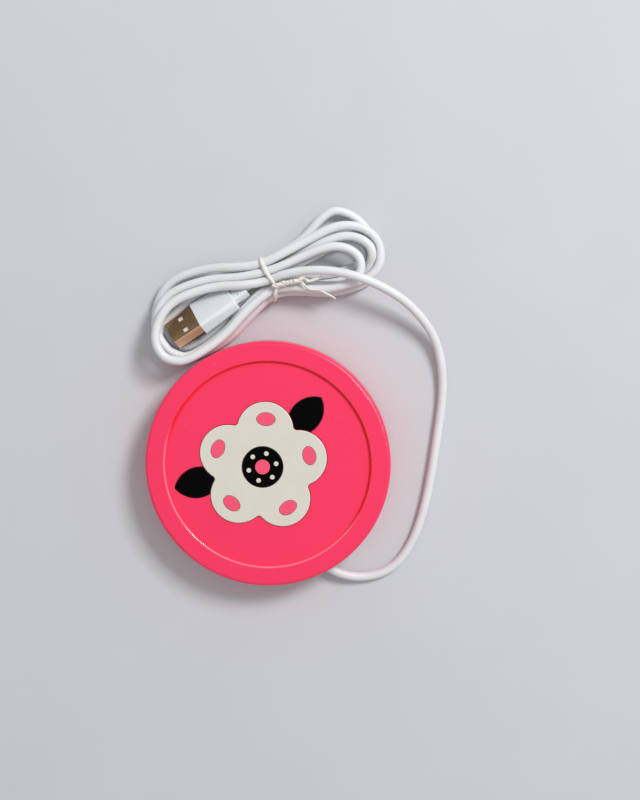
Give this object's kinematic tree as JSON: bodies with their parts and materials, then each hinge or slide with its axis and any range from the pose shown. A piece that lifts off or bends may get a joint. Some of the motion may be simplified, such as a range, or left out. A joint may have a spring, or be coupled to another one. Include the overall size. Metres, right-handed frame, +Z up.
{
  "type": "usb mug warmer",
  "caption": "Round flat electric mug warmer with a soft raised-rim cover and inlaid flower, its USB lead wound in a tied hank beside it.",
  "frame": {"origin": "bottom centre of the round body, on the surface that its feet stand on", "axes": "+Z up out of the warming surface; the tied hank lies beside the body towards +Y, and the lead runs round its +X side"},
  "size_m": [0.121, 0.1507, 0.015],
  "materials": {
    "cover_pvc": "satin, soft moulded",
    "inlay_cream": "satin, soft moulded",
    "inlay_black": "satin, soft moulded",
    "inlay_pink": "satin, soft moulded",
    "base_plastic": "fine spark texture",
    "foot_rubber": "matt",
    "plate_aluminium": "rolled sheet",
    "heat_tape": "matt",
    "heater_film": "clear amber film",
    "heater_foil": "etched foil",
    "insulation_felt": "needled felt",
    "frame_plastic": "fine texture",
    "screw_steel": "zinc plated",
    "cord_jacket": "satin",
    "lead_red": "satin",
    "lead_black": "satin",
    "solder": "bright",
    "tie_paper": "waxy paper",
    "plug_plastic": "satin",
    "plug_steel": "nickel plated",
    "tongue_plastic": "satin",
    "contact_gold": "gold flash"
  },
  "bodies": {
    "root": {"top_cover": "cover_pvc", "inlay_blossom": "inlay_cream", "inlay_eye": "inlay_black", "inlay_bud": "inlay_pink", "inlay_seeds": "inlay_cream", "inlay_blush_marks": "inlay_pink", "inlay_leaf_1": "inlay_black", "inlay_leaf_2": "inlay_black", "heat_plate": "plate_aluminium", "thermal_tape": "heat_tape", "heater_film_upper": "heater_film", "heating_trace": "heater_foil", "heater_film_lower": "heater_film", "insulation_pad": "insulation_felt", "plate_frame": "frame_plastic", "base_shell": "base_plastic", "base_screws": "screw_steel", "foot_1": "foot_rubber", "foot_2": "foot_rubber", "foot_3": "foot_rubber", "foot_4": "foot_rubber", "cord_bush": "cord_jacket", "inner_cord": "cord_jacket", "cord_clamp": "frame_plastic", "clamp_screws": "screw_steel", "lead_positive": "lead_red", "lead_negative": "lead_black", "solder_joints": "solder", "cord_tube": "cord_jacket", "cord_hank": "cord_jacket", "twist_tie": "tie_paper", "plug_overmould": "plug_plastic", "plug_inner_mould": "tongue_plastic", "plug_shell": "plug_steel", "plug_insulator": "tongue_plastic", "plug_contacts": "contact_gold"}
  },
  "joints": []
}
